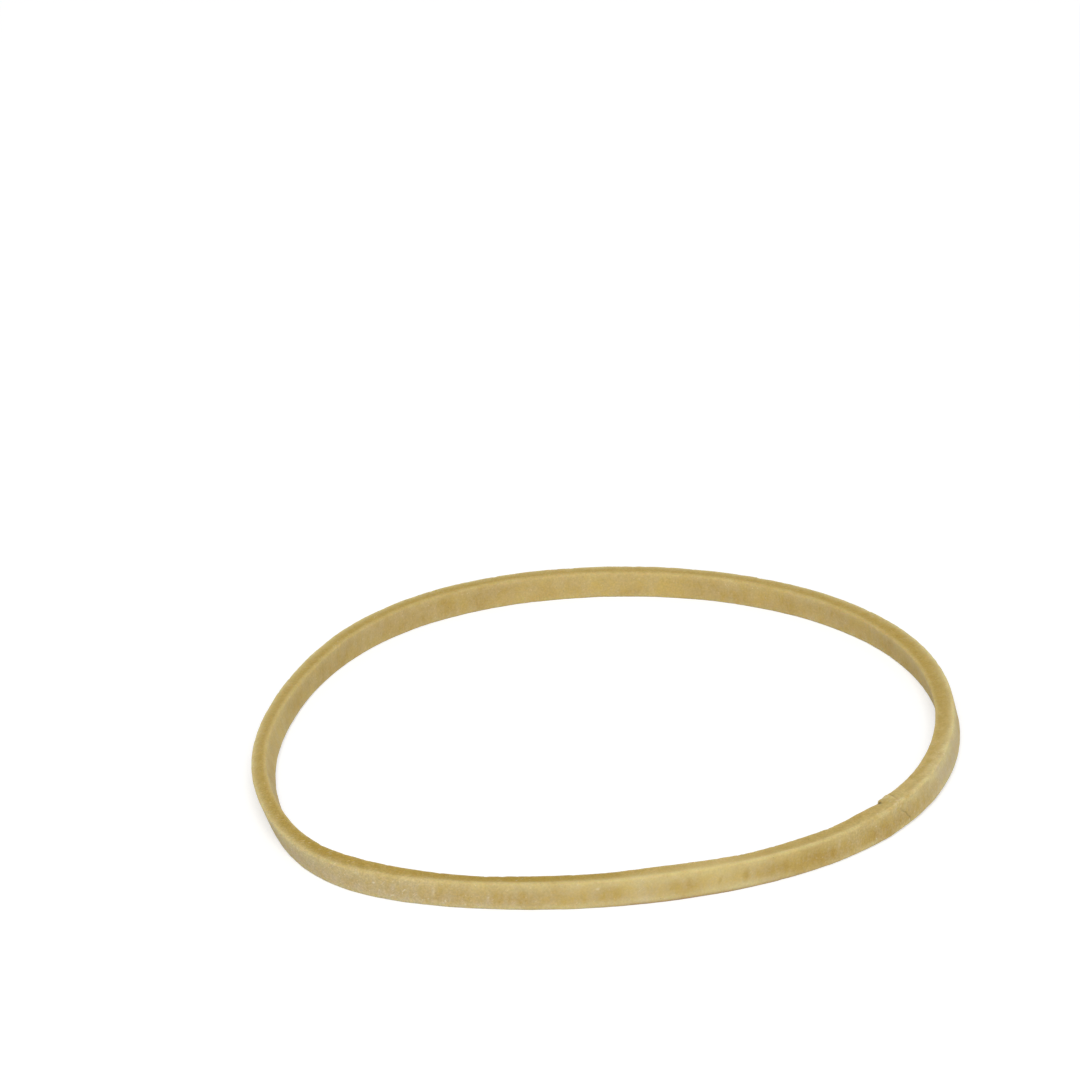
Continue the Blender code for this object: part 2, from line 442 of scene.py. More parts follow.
# %% [markdown]
# Towards the far right the dust lies in small blotches, drawn out along the ring, and each blotch is paler
# than the rubber between. One list counts most at the inner rim of the cut, and adds dust there or takes it
# away. And the wall's powder has spilled over the outer top edge, so the border of the cut looks soft.
# %% Blotches and spilled powder
BLOTCHES_AT, BLOTCHES_REACH = 334, 22  # in degrees
BLOTCH_LENGTH, BLOTCH_WIDTH = 1.0 * MM, 0.4 * MM
BLOTCH_DUST = 0.45
INNER_DUST = ((269.5, 3.5, -0.25), (298, 10, 0.3))
SPILLED, SPILL_REACH = 0.5, 0.15 * MM
# At 257 degrees less powder spills onto the cut, which darkens it there as painted shade.
LESS_SPILLED = ((257, 8, 0.25),)
along = np.radians(apart(angles, BLOTCHES_AT)) * mean_radius
blotch_places = np.column_stack((along / BLOTCH_LENGTH, sideways / BLOTCH_WIDTH, upwards / BLOTCH_WIDTH))
mottled = np.array([soft_noise(Vector(place)) for place in blotch_places])
mottled *= hump(angles, BLOTCHES_AT, BLOTCHES_REACH)
dust_and_shade = patches_of(DUST_AND_SHADE_PATCHES) + patches_of(INNER_DUST) * (1 - across_cut) + BLOTCH_DUST * mottled
off_outer_wall = np.clip(wall / 2 - EDGE_RADIUS - sideways, 0, None)
spilled = (SPILLED - patches_of(LESS_SPILLED)) * np.exp(-off_outer_wall / SPILL_REACH) * (growths[:, 1] > 0)
print("Spilled powder reaches", int((spilled > 0.1).sum()), "points")

# %% [markdown]
# ## Scuffed edges with painted highlight
# Each of the four long edges is pale, but not alike. The paleness is partly rubbed pale and partly painted
# highlight: the lit ridge of the rounding, and the light that thin rubber gives back near an edge. The outer
# top edge has most of it, and there the painted highlight runs far down the lit upper wall. So each edge has
# its own strength and two reaches. Down the wall the paleness ends softly and evenly, and across the cut it
# dies away at once. The very rounding of each edge is palest, in a band only a tenth of a millimetre wide.
# Short lists say where the edges were spared, where the paleness reaches further, and where the foot of the
# wall is pale too.
# %% Scuff the four edges and paint their highlight
SCUFFS_AND_HIGHLIGHTS = (  # side, top or bottom, strength, reach down the wall and across the cut in millimetres
    (1, 1, 1.0, 0.42, 0.16),
    (1, -1, 0.75, 0.2, 0.15),
    (-1, 1, 0.4, 0.25, 0.09),
    (-1, -1, 0.3, 0.15, 0.10),
)
# The line on the rounding is partly rubbed and partly painted highlight.
LINE_STRENGTH, LINE_DOWN, LINE_ACROSS = 0.9, 0.13, 0.07  # the rubbed line on the rounding itself
SPARED_PATCHES = ((233, 26, 0.4), (240, 2.5, 0.2), (303, 11, 0.4), (321.3, 1.6, 0.5), (328, 18, 0.3))
SPARED_LINE = ((226, 20, 0.5), (340, 24, 0.5))
WIDER_ABOVE = ((288, 4, 0.4),)
WIDER_BELOW = ((284, 18, 1.0), (295, 4, 0.6))
# The dip at 257 degrees narrows the pale edge on the cut there, as painted shade.
WIDER_ACROSS = ((335, 16, 0.9), (257, 8, -0.4))
FOLD_SCUFFS = ((FOLD_AT, 4, 0.35),)
FOOT_SCUFFS = ((276.5, 3, 0.25), (291, 5, 0.5))
spared = 1 - patches_of(SPARED_PATCHES)
line_spared = 1 - patches_of(SPARED_LINE)
wider_above = 1 + patches_of(WIDER_ABOVE)
wider_below = 1 + patches_of(WIDER_BELOW)
wider_across = 1 + patches_of(WIDER_ACROSS)
scuff_and_highlight = np.zeros_like(angles)
for side, end, strength, down, across in SCUFFS_AND_HIGHLIGHTS:
    off_edge = np.clip(width / 2 - EDGE_RADIUS - end * upwards, 0, None) / MM
    off_wall = np.clip(wall / 2 - EDGE_RADIUS - side * sideways, 0, None) / MM
    reach = down * (wider_above if end > 0 else wider_below)
    broad = strength * spared * fade(off_edge, reach) * np.exp(-off_wall / (across * wider_across))
    line = strength * line_spared * fade(off_edge, LINE_DOWN) * np.exp(-off_wall / LINE_ACROSS)
    scuff_and_highlight = np.maximum(scuff_and_highlight, np.maximum(broad, LINE_STRENGTH * line))
scuff_and_highlight = np.maximum(scuff_and_highlight, patches_of(FOLD_SCUFFS) * on_top * on_cut)
scuff_and_highlight += patches_of(FOOT_SCUFFS) * near_foot
scuff_and_highlight = np.clip(scuff_and_highlight * (1 + mottled), 0, 1)
print(round(100 * float((scuff_and_highlight > 0.2).mean())), "% of the points carry a scuff")

# %% [markdown]
# ## Painted shade under the front
# A thin reddish-brown line of painted shade runs along the lower outer edge, where the rounding turns under and
# meets the table. It covers little more than the rounding of that edge, and a short list keeps it to the front.
# %% Paint the shade line under the front edge
SHADE_UNDER_EDGE_PATCHES = ((274, 2, 0.3), (282, 12, 0.85), (300, 10, 0.45))
SHADE_UNDER_EDGE_HEIGHT = 0.14 * MM
shade_under_edge = fade(width / 2 + upwards, SHADE_UNDER_EDGE_HEIGHT) * (growths[:, 0] > 0.1) * patches_of(SHADE_UNDER_EDGE_PATCHES)
print("Grime covers", round(100 * float((shade_under_edge > 0.3).mean()), 1), "% of the points")

# %% [markdown]
# ## Close the sheet into a ring
# The four kinds of wear are added along each point's own outward direction. Then the sheet's two long rims
# and its two short rims lie on each other, and merging the doubled points closes it. Nothing sinks below the
# table: where a swell would, the soft rubber is pressed flat.
# %% Build the mesh
MERGED_WITHIN = 1e-7
worn = points + normals * (swells + knife_wander + nicks + fold)[:, None]
worn[:, 2] = np.maximum(worn[:, 2], 0)

masks = {
    "cut face": on_cut * (1 - spilled),
    "inner wall": np.where(growths[:, 0] < 0, growths[:, 0] ** 2, 0),
    "scuff_and_highlight": scuff_and_highlight,
    "crease": np.maximum(groove, pinch),
    "talc left": talc_left,
    "paleness": paleness,
    "dust_and_shade": dust_and_shade,
    "grit left": grit_left,
    "shade_under_edge": shade_under_edge,
}
layers = {name: sheet.verts.layers.float.new(name) for name in masks}
for number, vert in enumerate(sheet.verts):
    vert.co = worn[number]
    for name, layer in layers.items():
        vert[layer] = masks[name][number]
bmesh.ops.remove_doubles(sheet, verts=sheet.verts, dist=MERGED_WITHIN)
bmesh.ops.recalc_face_normals(sheet, faces=sheet.faces)
for face in sheet.faces:
    face.smooth = True

band_mesh = bpy.data.meshes.new("rubber_band")
sheet.to_mesh(band_mesh)
sheet.free()
band = bpy.data.objects.new("rubber_band", band_mesh)
bpy.context.scene.collection.objects.link(band)
print(len(band_mesh.polygons), "faces and", len(band_mesh.vertices), "points in the closed ring")

# %% [markdown]
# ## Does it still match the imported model?
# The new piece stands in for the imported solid, so it must keep its form. A BVH tree finds the nearest spot on
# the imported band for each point. The largest distance says how far the knife's slant and the wear have moved
# the surface.
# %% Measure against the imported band
packed = BVHTree.FromObject(cad_band, bpy.context.evaluated_depsgraph_get())
gaps = [1000 * packed.find_nearest(vert.co)[3] for vert in band_mesh.vertices]
average = sum(gaps) / len(gaps)
print("At most", round(max(gaps), 3), "mm from the packed band, on average", round(average, 4))

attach(band, "root")
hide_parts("band")

# %% [markdown]
# ## Helpers for materials
# A procedural material is a small machine of nodes, and building it by hand in code is wordy. One helper
# adds a node and fills its sockets, with plain values or with links, and three more are short forms of it.
# Another opens a new node group and names what goes in and what comes out, so that a finish can be made once
# and used again. The last lays the nodes of a tree out in columns, where a person can read them.
# %% Helpers that build node trees


def add(tree, kind, inputs=None, **settings):
    """Adds a node with its settings. inputs gives each socket a plain value, or another node's output."""
    node = tree.nodes.new(kind)
    for name, value in settings.items():
        setattr(node, name, value)
    for socket, value in (inputs or {}).items():
        if isinstance(value, bpy.types.NodeSocket):
            tree.links.new(value, node.inputs[socket])
        else:
            node.inputs[socket].default_value = value
    return node


def mix(tree, share, first, second, blend="MIX"):
    """The colour between two colours."""
    node = add(tree, "ShaderNodeMix", {0: share, 6: first, 7: second}, data_type="RGBA", blend_type=blend)
    return node.outputs[2]


def maths(tree, operation, *values, clamp=False):
    """One sum on plain numbers or on other nodes' outputs."""
    node = add(tree, "ShaderNodeMath", dict(enumerate(values)), operation=operation, use_clamp=clamp)
    return node.outputs[0]


def spread(tree, value, low, high, to_low=0.0, to_high=1.0):
    """A value from low to high, spread out between two others, and held there beyond them."""
    inputs = {"Value": value, "From Min": low, "From Max": high, "To Min": to_low, "To Max": to_high}
    return add(tree, "ShaderNodeMapRange", inputs).outputs["Result"]


def new_group(name, inputs, outputs):
    """An empty shader group with named sockets, as (tree, its input node, its output node)."""
    tree = bpy.data.node_groups.new(name, "ShaderNodeTree")
    for socket, value in inputs.items():
        kind = "NodeSocketVector" if isinstance(value, tuple) else "NodeSocketFloat"
        tree.interface.new_socket(socket, in_out="INPUT", socket_type=kind).default_value = value
    for socket in outputs:
        tree.interface.new_socket(socket, in_out="OUTPUT", socket_type="NodeSocketFloat")
    return tree, tree.nodes.new("NodeGroupInput"), tree.nodes.new("NodeGroupOutput")


def lay_out(tree):
    """Spreads the nodes in columns, each column to the left of the nodes that it feeds."""
    column = {node.name: 0 for node in tree.nodes}
    for _ in range(len(tree.nodes)):
        moved = False
        for link in tree.links:
            left, right = link.from_node.name, link.to_node.name
            if column[left] <= column[right]:
                column[left], moved = column[right] + 1, True
        if not moved:
            break
    rows = {}
    for node in tree.nodes:
        place = column[node.name]
        rows[place] = rows.get(place, 0) + 1
        node.location = (-220 * place, -190 * rows[place])
    print(tree.name, "has", len(tree.nodes), "nodes in", len(rows), "columns")


print("Helpers are ready")

# %% [markdown]
# ## Clouds in the rubber
# Natural latex is never one even colour: it dries in faint clouds, and handling rubs talc on and off in
# patches. Noise texture does this well. The size of the clouds is given in metres, as a real measure, and
# the group turns it into the texture's scale. One group serves the broad clouds, the patches and the grain.
# %% Node group: clouds
NOISE_LOW, NOISE_HIGH = 0.3, 0.7  # nearly all of the noise lies between these
clouds, given, result = new_group("clouds", {"Size": 0.001, "Detail": 2.0, "Tallness": 1.0}, ["Clouds"])
where = add(clouds, "ShaderNodeTexCoord").outputs["Object"]
squeeze = maths(clouds, "DIVIDE", 1.0, given.outputs["Tallness"])
stretch = add(clouds, "ShaderNodeCombineXYZ", {"X": 1.0, "Y": 1.0, "Z": squeeze}).outputs[0]
place = add(clouds, "ShaderNodeVectorMath", {0: where, 1: stretch}, operation="MULTIPLY").outputs[0]
scale = maths(clouds, "DIVIDE", 1.0, given.outputs["Size"])
inputs = {"Vector": place, "Scale": scale, "Detail": given.outputs["Detail"]}
texture = add(clouds, "ShaderNodeTexNoise", inputs).outputs[0]
clouds.links.new(spread(clouds, texture, NOISE_LOW, NOISE_HIGH), result.inputs["Clouds"])
lay_out(clouds)

# %% [markdown]
# ## Flecks
# Crumbs of talc and tiny pits are the opposite of clouds: few, small and sharp-edged. A Voronoi texture
# scatters one seed to a cell, and the distance to the seed draws a dot. Most cells are then left empty by
# comparing each cell's own random colour with the share that is wanted.
# %% Node group: flecks
DOT_RIM, DOT_HEART = 1.0, 0.5  # in radii, with the full strength inside the heart
flecks, given, result = new_group("flecks", {"Spacing": 0.001, "Width": 0.0001, "Share": 0.3}, ["Flecks"])
where = add(flecks, "ShaderNodeTexCoord").outputs["Object"]
scale = maths(flecks, "DIVIDE", 1.0, given.outputs["Spacing"])
cells = add(flecks, "ShaderNodeTexVoronoi", {"Vector": where, "Scale": scale})
radius = maths(flecks, "MULTIPLY", maths(flecks, "MULTIPLY", given.outputs["Width"], 0.5), scale)
dot = spread(flecks, maths(flecks, "DIVIDE", cells.outputs["Distance"], radius), DOT_RIM, DOT_HEART)
chance = add(flecks, "ShaderNodeSeparateColor", {0: cells.outputs["Color"]}).outputs[0]
kept = maths(flecks, "LESS_THAN", chance, given.outputs["Share"])
flecks.links.new(maths(flecks, "MULTIPLY", dot, kept), result.inputs["Flecks"])
lay_out(flecks)

# %% [markdown]
# ## Fine scratches
# Handling leaves hair-fine pale scratches in the powder, and most run the same slanting way. A noise texture
# gives such streaks when it is stretched, but in object space the stretch couldn't follow the ring. The UV
# map of the flat sheet can: there the strip is straight, and a slant is one plain turn. The map runs from 0
# to 1 both ways, so it is first stretched to the loop's true length and to the strip's girth.
# %% Node group: scratches
HIGHEST_FLOOR, FLOOR_PER_SHARE, STREAK_RISE = 0.75, 0.3, 0.06  # heights in the noise above which streaks show
first_section = points[station == 0][np.argsort(around[station == 0])]
girth = float(np.linalg.norm(np.diff(first_section, axis=0), axis=1).sum())
scratches, given, result = new_group(
    "scratches", {"Length": 0.001, "Width": 0.0001, "Slant": 0.8, "Share": 0.3}, ["Scratches"]
)
uv_place = add(scratches, "ShaderNodeUVMap", uv_map="strip").outputs[0]
inputs = {0: uv_place, 1: (loop_length, girth, 1)}
unrolled = add(scratches, "ShaderNodeVectorMath", inputs, operation="MULTIPLY").outputs[0]
turn = add(scratches, "ShaderNodeCombineXYZ", {"Z": given.outputs["Slant"]}).outputs[0]
inputs = {"X": given.outputs["Length"], "Y": given.outputs["Width"], "Z": 1.0}
sizes = add(scratches, "ShaderNodeCombineXYZ", inputs).outputs[0]
inputs = {"Vector": unrolled, "Rotation": turn, "Scale": sizes}
streaks = add(scratches, "ShaderNodeMapping", inputs, vector_type="TEXTURE").outputs[0]
texture = add(scratches, "ShaderNodeTexNoise", {"Vector": streaks, "Scale": 1.0, "Detail": 1.0}).outputs[0]
floor_level = maths(scratches, "MULTIPLY_ADD", given.outputs["Share"], -FLOOR_PER_SHARE, HIGHEST_FLOOR)
ceiling = maths(scratches, "ADD", floor_level, STREAK_RISE)
scratches.links.new(spread(scratches, texture, floor_level, ceiling), result.inputs["Scratches"])
lay_out(scratches)

# %% [markdown]
# ## Single marks
# Some crumbs and scratches are large enough to be known one by one. This group draws one soft ellipse at a
# place in space. A Mapping node set to Texture does the whole job: it moves the place to the origin, undoes
# the turn and divides by the three half sizes, and what is left is a ball with a radius of one.
# %% Node group: a mark
MARK_RIM, MARK_HEART = 1.2, 0.3  # in radii, as for the flecks
mark, given, result = new_group(
    "mark", {"Place": (0.0, 0.0, 0.0), "Turn": (0.0, 0.0, 0.0), "Reach": (1.0, 1.0, 1.0)}, ["Mark"]
)
where = add(mark, "ShaderNodeTexCoord").outputs["Object"]
inputs = {"Vector": where, "Location": given.outputs["Place"], "Rotation": given.outputs["Turn"]}
inputs["Scale"] = given.outputs["Reach"]
moved = add(mark, "ShaderNodeMapping", inputs, vector_type="TEXTURE").outputs[0]
far = add(mark, "ShaderNodeVectorMath", {0: moved}, operation="LENGTH").outputs["Value"]
mark.links.new(spread(mark, far, MARK_RIM, MARK_HEART), result.inputs["Mark"])
lay_out(mark)

# %% [markdown]
# ## Latex with a dusting of talc
# The rubber itself is a warm golden tan, and the powder that keeps bands from sticking is pale and slightly
# pink. The talc lies in patches on the walls and hardly at all on the cuts, which look darker and more golden.
# Only the crumbs are paler than the scuffed edges, whose colour also holds painted highlight. Two dark colours
# are painted shade: the line under the front edge and the notch at the step, and the second also darkens the
# crease. Colours are written as linear light, as Blender's sockets want them.
# %% The colours of the band
RUBBER = (0.455, 0.308, 0.076, 1)
PALE_RUBBER = (0.65, 0.50, 0.175, 1)
TALC = (0.56, 0.458, 0.27, 1)
CUT_RUBBER = (0.39, 0.262, 0.045, 1)
DUSTED_CUT = (0.575, 0.425, 0.16, 1)
# Pale edge colour: partly rubbed rubber, partly painted highlight
EDGE_SCUFF_AND_HIGHLIGHT = (0.655, 0.56, 0.268, 1)
CRUMB = (0.80, 0.74, 0.57, 1)
PIT = (0.22, 0.15, 0.06, 1)
# Dark colour for the crease, which is drawn darker, and painted shade in the notch at the step
NOTCH_SHADE_AND_DARK_CREASE = (0.12, 0.09, 0.035, 1)
# Painted shade: the dark reddish-brown of the shaded rounding under the front edge
SHADE_UNDER_EDGE = (0.31, 0.15, 0.065, 1)

latex = bpy.data.materials.new("latex")
latex.use_nodes = True
tree = latex.node_tree
shader = tree.nodes["Principled BSDF"]
band_mesh.materials.append(latex)
print("The talc is", round(TALC[2] / RUBBER[2], 1), "times as blue as the rubber")

# %% [markdown]
# Each effect goes into the material as a group with its own values, and each mask comes in as an attribute of
# the mesh. Three short helpers keep the next cells readable.
# %% Bring groups and masks into the material


def placed(group, output, **values):
    """Places a group in the latex with its own values, and gives its output."""
    node = add(tree, "ShaderNodeGroup", node_tree=group)
    for socket, value in values.items():
        node.inputs[socket].default_value = value
    return node.outputs[output]


def cloud(size, detail=2.0, tallness=1.0):
    """Clouds of that size in metres."""
    return placed(clouds, "Clouds", Size=size, Detail=detail, Tallness=tallness)


def mask(name):
    """A number that the mesh carries at each point."""
    return add(tree, "ShaderNodeAttribute", attribute_name=name).outputs["Fac"]


print("The mesh carries", len(masks), "masks:", ", ".join(masks))

# %% [markdown]
# The talc's share is a sum of three sizes of cloud, so that it looks rubbed and not sprayed. The middle
# size is stretched upright, because the wall of the tube carries faint upright streaks. The inner wall holds
# less of it, because the tube was dusted from outside. On the cuts the two finer clouds break up the dust.
# %% Lay the talc over the rubber
TALC_CLOUDS = {"broad": 0.2, "patches": 0.65, "grain": 0.35}  # how much each size of cloud counts
TALC_WORN = 0.32  # what handling has taken off everywhere
INNER_WALL_LOSS = 0.4
PALE_CLOUDS = 0.46
DUST_CLOUDS = {"patches": 0.28, "grain": 0.25}
DUST_WORN = 0.08

broad = cloud(3 * MM)
patches = cloud(0.6 * MM, tallness=1.4)
grain = cloud(0.15 * MM, detail=3.0)
talc = maths(tree, "MULTIPLY_ADD", broad, TALC_CLOUDS["broad"], mask("talc left"))
talc = maths(tree, "MULTIPLY_ADD", patches, TALC_CLOUDS["patches"], talc)
talc = maths(tree, "SUBTRACT", talc, TALC_WORN)
talc = maths(tree, "MULTIPLY_ADD", grain, TALC_CLOUDS["grain"], talc, clamp=True)
talc = maths(tree, "MULTIPLY", talc, maths(tree, "MULTIPLY_ADD", mask("inner wall"), -INNER_WALL_LOSS, 1.0))
pale = maths(tree, "MULTIPLY_ADD", cloud(1.6 * MM), PALE_CLOUDS, mask("paleness"), clamp=True)
wall_colour = mix(tree, talc, mix(tree, pale, RUBBER, PALE_RUBBER), TALC)
dusted = maths(tree, "MULTIPLY_ADD", patches, DUST_CLOUDS["patches"], mask("dust_and_shade"))
dusted = maths(tree, "SUBTRACT", dusted, DUST_WORN)
dusted = maths(tree, "MULTIPLY_ADD", grain, DUST_CLOUDS["grain"], dusted, clamp=True)
cut_colour = mix(tree, dusted, CUT_RUBBER, DUSTED_CUT)
colour = mix(tree, mask("cut face"), wall_colour, cut_colour)
print("Walls and cuts have their colours")

# %% [markdown]
# Over these go the scuffed edges, whose paleness is partly painted highlight, broken up by a cloud so that they
# come and go, and the painted shade line under the front edge.
# %% Pale edges and the painted shade line
LEAST_SCUFF_AND_HIGHLIGHT, MOST_SCUFF_AND_HIGHLIGHT = 0.5, 0.95
SHADE_UNDER_EDGE_COVER = 0.9
broken_up = spread(tree, cloud(1.0 * MM), 0.0, 1.0, LEAST_SCUFF_AND_HIGHLIGHT, MOST_SCUFF_AND_HIGHLIGHT)
colour = mix(tree, maths(tree, "MULTIPLY", mask("scuff_and_highlight"), broken_up), colour, EDGE_SCUFF_AND_HIGHLIGHT)
# The line under the front edge is painted shade.
colour = mix(tree, maths(tree, "MULTIPLY", mask("shade_under_edge"), SHADE_UNDER_EDGE_COVER), colour, SHADE_UNDER_EDGE)
print("Scuff colour is", round(EDGE_SCUFF_AND_HIGHLIGHT[0] / RUBBER[0], 2), "times as light as bare rubber")

# %% [markdown]
# ## Where the single marks lie
# Each mark is written as a face, a direction, a share of the way down the wall or out across the cut, its half
# length and half width in millimetres, its slant in degrees, and its strength. The sheet's own points turn that
# into a place and a turn in space. Three lists hold the pale crumbs and scratches, the bare spots and the
# painted shade in the one notch at the step.
# %% Place the single marks
MARK_DEPTH = 0.3 * MM
PALE_MARKS = (
    ("wall", 236.3, 0.37, 0.08, 0.07, 0, 1.0),
    ("wall", 238.9, 0.75, 0.17, 0.035, 15, 0.9),
    ("wall", 240.5, 0.51, 0.17, 0.04, 50, 0.9),
    ("wall", 240.2, 0.62, 0.08, 0.04, 100, 0.8),
    ("wall", 244.6, 0.46, 0.24, 0.1, 80, 0.4),
    ("wall", 244.6, 0.78, 0.2, 0.12, 20, 0.3),
    ("wall", 246.1, 0.75, 0.07, 0.05, 60, 0.9),
    ("wall", 245.8, 0.86, 0.07, 0.05, 30, 0.7),
    ("wall", 248.8, 0.86, 0.09, 0.06, 60, 0.7),
    ("wall", 252.1, 0.53, 0.07, 0.06, 0, 0.6),
    ("wall", 237.7, 0.34, 0.20, 0.035, 50, 0.5),
    ("wall", 239.2, 0.17, 0.20, 0.035, 55, 0.3),
    ("wall", 242.6, 0.21, 0.20, 0.035, 45, 0.5),
    ("wall", 267.7, 0.29, 0.12, 0.09, 0, 0.5),
    ("wall", 268.2, 0.78, 0.30, 0.20, 0, 0.15),
    ("wall", 274.8, 0.80, 0.50, 0.20, 0, 0.2),
    ("wall", 295.3, 0.78, 0.50, 0.20, 0, 0.2),
    ("wall", 318.4, 0.31, 0.07, 0.06, 0, 0.7),
    ("wall", 309.7, 0.35, 0.30, 0.12, 85, 0.25),
    ("wall", 323.8, 0.10, 0.15, 0.07, 20, 0.4),
    ("wall", 325.2, 0.15, 0.12, 0.07, 30, 0.7),
    ("cut", 325.2, 0.80, 0.16, 0.07, -30, 0.4),
    ("cut", 324.4, 0.55, 0.14, 0.05, 10, 0.5),
    ("cut", 325.6, 0.20, 0.35, 0.10, -10, 0.4),
    ("cut", 324.1, 0.95, 0.28, 0.12, 0, 0.35),
    ("wall", 329.2, 0.71, 0.08, 0.06, 30, 0.7),
    ("wall", 327.4, 0.86, 0.07, 0.06, 0, 0.6),
    ("cut", 319.4, 0.84, 0.07, 0.06, 0, 0.6),
)
BARE_MARKS = (  # rubbed spots where the talc is gone
    ("wall", 269.8, 0.36, 0.60, 0.32, 0, 0.35),
    ("wall", 282.3, 0.42, 0.42, 0.20, 90, 0.35),
    ("wall", 287.4, 0.50, 0.30, 0.11, 70, 0.4),
    ("wall", 292.0, 0.50, 0.42, 0.24, 90, 0.6),
    ("wall", 298.8, 0.52, 0.38, 0.34, 90, 0.4),
)
# The notch's dark mark is painted shade: the step's riser lies in shade there.
SHADED_NOTCH_MARKS = (("cut", 323.0, 0.06, 0.22, 0.18, 0, 0.85),)


def one_mark(face, direction, share, half_long, half_wide, slant, strength):
    """The mask of a single mark."""
    off = (down_wall - share) * width if face == "wall" else (across_cut - share) * wall
    wrong = ~on_outside if face == "wall" else ~on_top
    here = int(np.argmin(np.hypot(np.radians(apart(angles, direction)) * mean_radius, off) + wrong))
    along, face_out = Vector((*ahead[here], 0)), Vector(normals[here])
    long_way = Matrix.Rotation(math.radians(slant), 3, face_out) @ along
    turn = Matrix((long_way, face_out.cross(long_way), face_out)).transposed().to_euler()
    reach = (half_long * MM, half_wide * MM, MARK_DEPTH)
    return maths(tree, "MULTIPLY", placed(mark, "Mark", Place=points[here], Turn=turn, Reach=reach), strength)


def all_marks(marks):
    """The strongest of several marks at each point."""
    total = one_mark(*marks[0])
    for values in marks[1:]:
        total = maths(tree, "MAXIMUM", total, one_mark(*values))
    return total


pale_marks, bare_marks, shaded_notch = all_marks(PALE_MARKS), all_marks(BARE_MARKS), all_marks(SHADED_NOTCH_MARKS)
print(len(PALE_MARKS), "pale marks,", len(BARE_MARKS), "bare spots and", len(SHADED_NOTCH_MARKS), "dark notch")

# %% [markdown]
# ## Crumbs, scratches and pits
# The small things go on top. First come the bare spots, where the plain rubber shows again. Over them lie
# crumbs of talc in two sizes, more of them on gritty walls than on the cuts, the slanting scratches where the
# powder is thick, the single pale marks and tiny pits. The crease is drawn darker, and the notch at the step
# gets painted shade.
# %% Scatter the small things
CRUMBS_PER_GRIT, FEWEST_CRUMBS = 2.0, 0.15
CUT_LOSS = 0.7
TALC_FOR_HAIRS = 0.1  # thinner talc shows no scratches
HAIR_COVER, MARK_COVER, PIT_COVER, CREASE_DARKENING = 0.6, 0.6, 0.3, 0.4
crumbs = maths(
    tree,
    "MAXIMUM",
    placed(flecks, "Flecks", Spacing=0.32 * MM, Width=0.09 * MM, Share=0.6),
    placed(flecks, "Flecks", Spacing=2.5 * MM, Width=0.2 * MM, Share=0.4),
)
gritty = mask("grit left")
crumbs = maths(tree, "MULTIPLY", crumbs, maths(tree, "MULTIPLY_ADD", gritty, CRUMBS_PER_GRIT, FEWEST_CRUMBS))
crumbs = maths(tree, "MULTIPLY", crumbs, maths(tree, "MULTIPLY_ADD", mask("cut face"), -CUT_LOSS, 1.0))
hairs = placed(scratches, "Scratches", Length=0.5 * MM, Width=0.05 * MM, Slant=0.9, Share=0.3)
hairs = maths(tree, "MULTIPLY", hairs, maths(tree, "SUBTRACT", talc, TALC_FOR_HAIRS, clamp=True))
pits = placed(flecks, "Flecks", Spacing=0.5 * MM, Width=0.1 * MM, Share=0.4)
specks = maths(tree, "MAXIMUM", crumbs, maths(tree, "MULTIPLY", hairs, HAIR_COVER))
specks = maths(tree, "MAXIMUM", specks, maths(tree, "MULTIPLY", pale_marks, MARK_COVER))
colour = mix(tree, bare_marks, colour, RUBBER)
colour = mix(tree, specks, colour, CRUMB)
colour = mix(tree, maths(tree, "MULTIPLY", pits, PIT_COVER), colour, PIT)
# The crease is darkened, and the notch gets painted shade.
notch_shade_and_dark_crease = maths(tree, "MAXIMUM", maths(tree, "MULTIPLY", mask("crease"), CREASE_DARKENING), shaded_notch)
colour = mix(tree, notch_shade_and_dark_crease, colour, NOTCH_SHADE_AND_DARK_CREASE)
print("Crumbs, scratches and pits lie on the walls and cuts")

# %% [markdown]
# Last of all a fine cloud makes the powder gritty: it raises and lowers the brightness of whatever colour
# lies below, a little everywhere and more where the mesh says that grit is left.
# %% Make it gritty
GRIT_EVERYWHERE = 0.1
grit = cloud(0.11 * MM)
roughly = maths(tree, "ADD", gritty, GRIT_EVERYWHERE)
brightness = maths(tree, "MULTIPLY_ADD", maths(tree, "SUBTRACT", grit, 0.5), roughly, 1.0)
colour = add(tree, "ShaderNodeVectorMath", {0: colour, "Scale": brightness}, operation="SCALE").outputs[0]
tree.links.new(colour, shader.inputs["Base Color"])
print("The colour is made of", len(tree.nodes), "nodes")

# %% [markdown]
# ## Matt, soft and a little see-through
# Thin latex lets some light in and gives it back warmer a little way off, which is what subsurface scattering
# does: red travels farthest. Powder makes the surface matt, so the roughness is high and rises with the talc.
# A bump map adds what is too fine to model, the grain and the crumbs, a hundredth of a millimetre high.
# %% Finish the surface
RELIEF = 0.012 * MM
GRAIN_RELIEF, PATCH_RELIEF = 0.6, 0.4
BARE_ROUGHNESS, TALC_ROUGHNESS = 0.62, 0.85
height = maths(tree, "MULTIPLY_ADD", grain, GRAIN_RELIEF, maths(tree, "MULTIPLY", patches, PATCH_RELIEF))
height = maths(tree, "ADD", height, maths(tree, "SUBTRACT", specks, pits))
relief = add(tree, "ShaderNodeBump", {"Height": height, "Distance": RELIEF, "Strength": 1.0})
tree.links.new(relief.outputs[0], shader.inputs["Normal"])
tree.links.new(spread(tree, talc, 0.0, 1.0, BARE_ROUGHNESS, TALC_ROUGHNESS), shader.inputs["Roughness"])
shader.inputs["Diffuse Roughness"].default_value = 0.6
shader.inputs["Subsurface Weight"].default_value = 0.5
shader.inputs["Subsurface Radius"].default_value = (1.0, 0.6, 0.25)
shader.inputs["Subsurface Scale"].default_value = 0.45 * MM
shader.inputs["Specular IOR Level"].default_value = 0.2
lay_out(tree)

